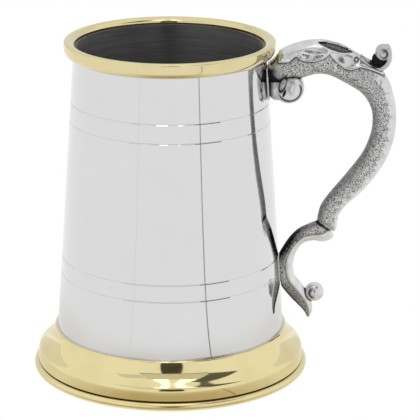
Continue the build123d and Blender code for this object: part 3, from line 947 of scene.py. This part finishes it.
def build_tankard():
    pewter = polished_pewter()
    lining = turned_lining_with_painted_shade()
    foot_gold = brass("pale_brass_foot", 3.55, 3.3, (0.80, 0.70, 0.385, 1), (0.75, 0.645, 0.335, 1))
    rim_gold = brass("pale_brass_rim", RIM_LOW.z - 0.3, 0.0, (0.74, 0.655, 0.375, 1), (0.70, 0.61, 0.33, 1))
    solder = tin_solder()
    cast = antiqued_casting("antiqued_pewter", 0.68, 0.52)
    coarse = antiqued_casting("antiqued_pewter_scroll", 0.70, 0.55)
    rubbed = antiqued_casting("rubbed_pewter", 0.66, 0.6)

    barrel = turned("tankard_barrel", barrel_profile(), pewter, 512)
    line_cup(barrel, lining)
    finished(barrel, "pewter_polished", "barrel", "barrel_seam")
    finished(turned("tankard_rim", rim_profile(), rim_gold, 384, 50), "brass_polished", "rim_band")
    finished(turned("tankard_foot", foot_profile(), foot_gold, 512, 50), "brass_polished", "foot_ring")
    # The plate's top is the floor of the cup and takes the lining with its painted shade.
    plate = turned("tankard_base", plate_profile(), lining, 256)
    finished(plate, "pewter_polished", "base_plate")
    top = FOOT_HIGH.z
    bore = barrel_r(top) + SOLDER
    fillet = [(barrel_r(SEAT), SEAT), (barrel_r(SEAT) + SOLDER, SEAT), (bore, top), (bore + 0.3, top),
              (bore + 0.12, top + 0.18), (bore - 0.02, top + 0.36), (barrel_r(top + 0.5), top + 0.5)]
    finished(turned("foot_joint", fillet, solder, 384), "solder", "foot_solder")
    low = PLATE_HIGH.z
    high = low + 1.2
    bore_low = barrel_r(low) - WALL
    bore_high = barrel_r(high) - WALL
    corner = [(bore_low, low), (bore_high, high), (bore_high - 0.25, high - 0.55),
              (bore_low - 0.6, low + 0.28), (bore_low - 1.2, low)]
    finished(turned("base_joint", corner, solder, 256, 60), "solder", "base_solder")
    film = [(barrel_r(RIM_LOW.z), RIM_LOW.z), (barrel_r(RIM_LOW.z) + SOLDER, RIM_LOW.z),
            (barrel_r(MOUTH) + SOLDER, MOUTH), (barrel_r(MOUTH), MOUTH)]
    finished(turned("rim_joint", film, solder, 256), "solder", "rim_solder")
    for node in ("upper_solder_pad", "lower_solder_pad"):
        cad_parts[node].data.materials.clear()
        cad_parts[node].data.materials.append(solder)

    arm = casting("handle_s_arm", arm_shape, (36, -6, 53), (87, 6, 131), 0.235, cast, arm_grain, arm_patina,
                  rough=0.05, pit=0.6)
    finished(arm, "pewter_antiqued", "handle_arm")
    leaf = casting("handle_leaf", leaf_shape, (39, -7.5, 116), (82, 7.5, 131), 0.2, rubbed,
                   plain, leaf_patina)
    finished(leaf, "pewter_antiqued", "acanthus_leaf")
    thumb = casting("handle_thumb_scroll", thumb_shape, (69, -5, 116), (84.5, 5, 129.5), 0.17, rubbed,
                    plain, thumb_patina)
    finished(thumb, "pewter_antiqued", "thumb_scroll")
    volute = casting("handle_drop_scroll", volute_shape, (34, -6, 103), (52, 6, 122), 0.18, rubbed,
                     volute_grain, volute_patina)
    finished(volute, "pewter_antiqued", "upper_volute")
    scroll = casting("handle_lower_scroll", scroll_shape, (38, -5, 19), (65, 5, 63), 0.19, coarse,
                     scroll_grain, scroll_patina, rough=0.09)
    finished(scroll, "pewter_antiqued", "lower_scroll")
    ball = casting("handle_ball", ball_shape, (51, -4.5, 25.5), (60, 4.5, 34.8), 0.14, rubbed,
                   plain, ball_patina)
    finished(ball, "pewter_antiqued", "scroll_ball")


# ---------------------------------------------------------- studio and camera

VIEW_TURN = -86.0             # direction of the camera about +Z, degrees from +X


def glow(name, colour, strength):
    material = bpy.data.materials.new(name)
    material.use_nodes = True
    nodes = material.node_tree.nodes
    nodes.clear()
    output = nodes.new("ShaderNodeOutputMaterial")
    light = nodes.new("ShaderNodeEmission")
    light.inputs[0].default_value = (*colour, 1)
    light.inputs[1].default_value = strength
    material.node_tree.links.new(light.outputs[0], output.inputs[0])
    return material


def card(name, turn, lift, strength, colour=(1, 1, 1), radius=1.6, steps=12):
    """Curved studio card: turn and lift are (first, last) degrees from the camera's
    direction and from the floor. It is seen only in reflections and as light."""
    points, faces = [], []
    for i in range(steps + 1):
        for j in range(steps + 1):
            a = math.radians(VIEW_TURN + turn[0] + (turn[1] - turn[0]) * i / steps)
            b = math.radians(lift[0] + (lift[1] - lift[0]) * j / steps)
            points.append((radius * math.cos(b) * math.cos(a), radius * math.cos(b) * math.sin(a),
                           radius * math.sin(b)))
    for i in range(steps):
        for j in range(steps):
            k = i * (steps + 1) + j
            faces.append((k, k + 1, k + steps + 2, k + steps + 1))
    obj = mesh_object(name, np.array(points) / MM, np.array(faces), glow(name + "_glow", colour, strength))
    hidden(obj)


def hidden(obj):
    """Stage piece that is seen only in reflections."""
    obj.visible_camera = False
    obj.visible_shadow = False


def floor_ring(name, near_r, far_r, turns, strength, colour=(1, 1, 1), height=0.5):
    """Part of a flat ring on the floor round the tankard, radii in millimetres."""
    steps = 48
    points, faces = [], []
    for i in range(steps + 1):
        a = math.radians(VIEW_TURN + turns[0] + (turns[1] - turns[0]) * i / steps)
        points.append((near_r * math.cos(a), near_r * math.sin(a), height))
        points.append((far_r * math.cos(a), far_r * math.sin(a), height))
    for i in range(steps):
        faces.append((2 * i, 2 * i + 1, 2 * i + 3, 2 * i + 2))
    obj = mesh_object(name, np.array(points), np.array(faces), glow(name + "_glow", colour, strength))
    obj.visible_diffuse = False
    hidden(obj)


def foot_shade():
    """Brass-coloured shade on the floor close round the foot, deepest in front."""
    points, faces, tints = [], [], []
    rows, steps = 12, 120
    deep = np.array((0.58, 0.49, 0.33))
    for i in range(rows + 1):
        radius = 53.2 + 100 * i / rows
        for j in range(steps):
            turn = 360 * j / steps - 180
            a = math.radians(VIEW_TURN + turn)
            points.append((radius * math.cos(a), radius * math.sin(a), 0.3))
            amount = (1 - ramp(radius, 70, 150)) * (0.30 + 0.70 * (1 - ramp(abs(turn), 15, 70)))
            tints.append([*(1 - (1 - deep) * amount), 1.0])
    for i in range(rows):
        for j in range(steps):
            k = (j + 1) % steps
            faces.append((i * steps + j, (i + 1) * steps + j, (i + 1) * steps + k, i * steps + k))
    shade = glow("foot_shade_glow", (1, 1, 1), 1.0)
    nodes = shade.node_tree.nodes
    paint = nodes.new("ShaderNodeAttribute")
    paint.attribute_name = "tint"
    shade.node_tree.links.new(paint.outputs["Color"], nodes["Emission"].inputs[0])
    obj = mesh_object("foot_shade", np.array(points), np.array(faces), shade)
    layer = obj.data.attributes.new("tint", "FLOAT_COLOR", "POINT")
    layer.data.foreach_set("color", np.array(tints, np.float32).ravel())
    obj.visible_diffuse = False
    hidden(obj)


def studio():
    """White floor and tent with the openings that show in the polished metal."""
    side = 6.0
    corners = np.array([(-side, -side, 0), (side, -side, 0), (side, side, 0), (-side, side, 0)]) / MM
    floor = mesh_object("floor", corners, np.array([(0, 1, 2, 3)]), glow("white_floor", (1, 1, 1), 1.0))
    world = bpy.data.worlds.new("tent")
    world.use_nodes = True
    world.node_tree.nodes["Background"].inputs[0].default_value = (1, 1, 1, 1)
    world.node_tree.nodes["Background"].inputs[1].default_value = 1.0
    bpy.context.scene.world = world
    card("camera_opening", (-9.5, 11.5), (3, 43), 0.07)
    card("opening_frame", (-34, 42), (43.3, 45.3), 0.2)
    card("front_cloth", (-34, 42), (45.3, 66), 0.72)
    card("left_lamp", (-27, -4), (66, 86), 2.4, radius=1.3)
    card("right_lamp", (15, 40), (66, 86), 2.4, radius=1.3)
    card("right_gap", (43, 80), (46, 75), 0.13)
    card("left_gap", (-66, -35), (50, 62), 0.75)
    floor_ring("right_seam", 60, 1500, (32.8, 33.7), 0.25)
    floor_ring("left_seam", 60, 1500, (-34.6, -34.2), 0.8)
    card("back_cloth", (125, 235), (0.3, 45), 1.0, (0.85, 0.86, 0.87), steps=24)
    foot_shade()


def camera():
    """Long lens, above and in front, with the handle almost square to it."""
    distance, height = 6.8957 * TOTAL * MM, 2.6471 * TOTAL * MM
    yaw, pitch, roll = 0.0171, 0.3045, 0.0027
    turn = math.radians(VIEW_TURN)
    data = bpy.data.cameras.new("camera")
    data.lens = 209.2
    data.sensor_width = 36.0
    data.clip_end = 50.0
    obj = bpy.data.objects.new("camera", data)
    bpy.context.scene.collection.objects.link(obj)
    spot = Vector((distance * math.cos(turn), distance * math.sin(turn), height))
    aim = turn + math.pi - yaw
    ahead = Vector((math.cos(aim) * math.cos(pitch), math.sin(aim) * math.cos(pitch), -math.sin(pitch)))
    right = ahead.cross(Vector((0, 0, 1))).normalized()
    up = right.cross(ahead)
    right, up = right * math.cos(roll) + up * math.sin(roll), up * math.cos(roll) - right * math.sin(roll)
    basis = Matrix((right, up, -ahead)).transposed().to_4x4()
    basis.translation = spot
    obj.matrix_world = basis
    bpy.context.scene.camera = obj


build_tankard()
studio()
camera()
bpy.context.scene.view_settings.view_transform = "Standard"
